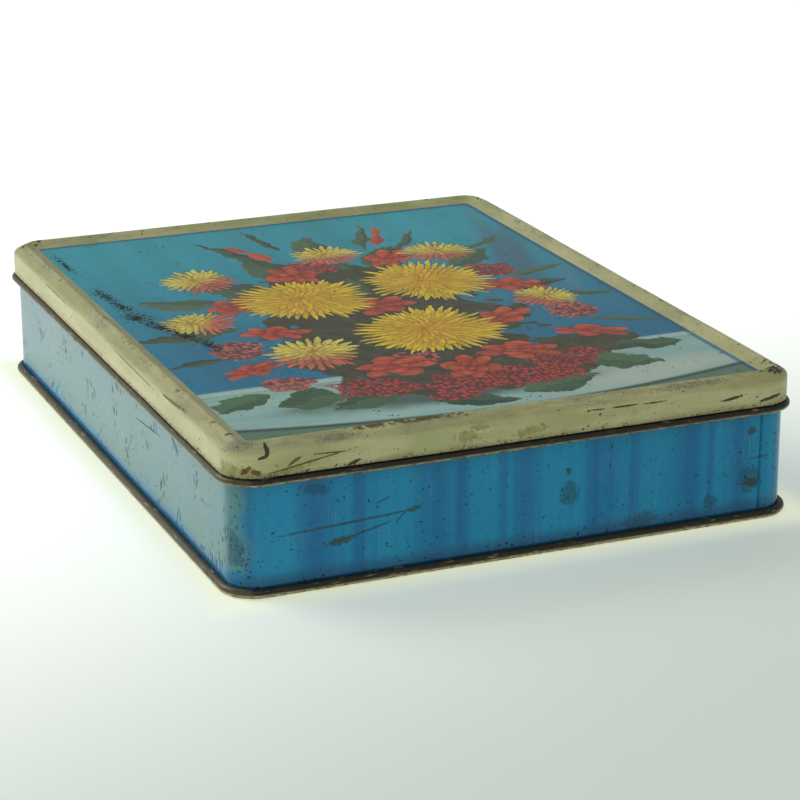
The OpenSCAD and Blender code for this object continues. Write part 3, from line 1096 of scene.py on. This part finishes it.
def rolled_edge(name, crown, seed):
    """A raw rolled edge: dark dirt above the height crown, painted paler on the left side as painted light,
    worn metal below it, rust in spots.
    """
    art = Surface(name)
    grain = art.noise((2.2, 2.2, 0.8), detail=4.0, rough=0.7, seed=seed)
    slow = art.noise((30, 30, 4), detail=2.0, seed=seed + 2)
    low = art.step(art.z + grain * 0.9 + slow * 0.8, crown + 0.95, crown + 0.55)
    metal = art.mix(art.step(grain, 0.35, 0.65), shade(96, 88, 60), shade(176, 170, 138))
    grime_and_left_light = art.mix(grain, shade(14, 14, 10), shade(48, 42, 26))
    # Painted light: the dark upper part is painted paler on the left side, the side the lamps light.
    grime_and_left_light = art.mix(on_left(art, 0.6, 6), grime_and_left_light, art.mix(grain, shade(54, 48, 26), shade(128, 118, 76)))
    colour = art.mix(low, grime_and_left_light, metal)
    rust = art.step(art.noise(4, detail=4.0, rough=0.65, seed=seed + 5), 0.56, 0.66)
    colour = art.mix(rust * 0.6, colour, art.mix(grain, shade(34, 26, 14), shade(96, 76, 44)))
    bright = art.step(art.noise((7, 7, 0.7), detail=3.0, seed=seed + 8), 0.62, 0.68)
    colour = art.mix(bright * 0.5, colour, shade(176, 170, 150))
    rough = grain * 0.35 + 0.2 + rust * 0.2
    height = grain * 0.05 - rust * 0.04
    return art.finish(colour, rough, (1 - rust) * low * 0.75, height)


def inner_tinplate():
    """Tinned steel inside: brushed sheen, brown storage stains and a few rust pits."""
    art = Surface("inner_tinplate")
    brushed = art.noise((60, 0.8, 8), detail=2.0, seed=1)
    patch = (art.noise(12, seed=3) - 0.5) * 0.2
    colour = art.times(shade(205, 201, 188), brushed * 0.16 + 0.84 + patch)
    stain = art.step(art.noise(38, detail=4.0, rough=0.55, seed=4), 0.5, 0.72)
    colour = art.mix(stain * 0.3, colour, shade(158, 138, 100))
    low = art.step(art.z, FLOOR_GAP + 5, FLOOR_GAP) * art.step(art.noise(6, detail=4.0, seed=6), 0.46, 0.64)
    rim = art.most(abs(art.x) - HALF_W, abs(art.y) - HALF_L)
    edge = low * art.step(rim, -14, -2)
    pit = art.specks(1.6, 0.4, 41)
    colour = art.mix(edge * 0.5, colour, shade(108, 78, 48))
    colour = art.mix(pit * 0.8, colour, shade(88, 50, 28))
    rough = brushed * 0.1 + 0.28 + stain * 0.12 + edge * 0.2 + pit * 0.3
    height = brushed * 0.002 - pit * 0.02
    return art.finish(colour, rough, 0.85 - pit * 0.6 - edge * 0.3, height)


def pale_floor():
    """A plain pale floor lit from below: white behind the tin and far off, grey-green in front, with a
    painted pool of light round the tin's foot.
    """
    art = Surface("pale_floor")
    colour = art.mix(art.noise(400, detail=1.0), shade(226, 233, 226), shade(230, 235, 229))
    away = art.math("SQRT", art.square(art.x, art.y))
    white = art.most(art.step(art.y - art.x * 0.3, -270, 70), art.step(away, 450, 1200))
    strength = art.blend(white, GLOW_FRONT, GLOW_BACK)
    glow = art.times(art.mix(white, (0.86, 1.0, 0.88), (1.0, 1.0, 1.0)), strength)
    outside = art.most(abs(art.x) - HALF_W, abs(art.y) - HALF_L)
    # Painted light: a warm glow on the floor close round the tin's foot.
    glow = art.mix(art.step(outside, 16, 2), glow, (0.46, 0.48, 0.34))
    material = art.finish(colour, art.noise(9) * 0.1 + 0.5)
    shader = material.node_tree.nodes["Principled BSDF"]
    material.node_tree.links.new(glow.socket, shader.inputs["Emission Color"])
    shader.inputs["Emission Strength"].default_value = 1
    return material


# ---- The scene ----

make_camera()
make_world()
make_floor(pale_floor())
make_light("back_left_light", (-1.3, 1.3, 1.3), (0, 0, 0), (1.2, 1.2), 19)
make_light("back_light", (-0.3, 1.6, 1.6), (0, 0.1, 0), (2.0, 1.0), 2)
make_light("front_light", (-0.6, -1.2, 1.8), (0, 0, 0), (1.4, 1.0), 5)

make_groups()
tinplate = inner_tinplate()
make_lid([cream_enamel(), picture_print(), rolled_edge("rolled_edge", CURL_Z, 3), tinplate])
make_walls([blue_print(), tinplate])
make_bottom([rolled_edge("bead_metal", BEAD_Z, 20), tinplate])
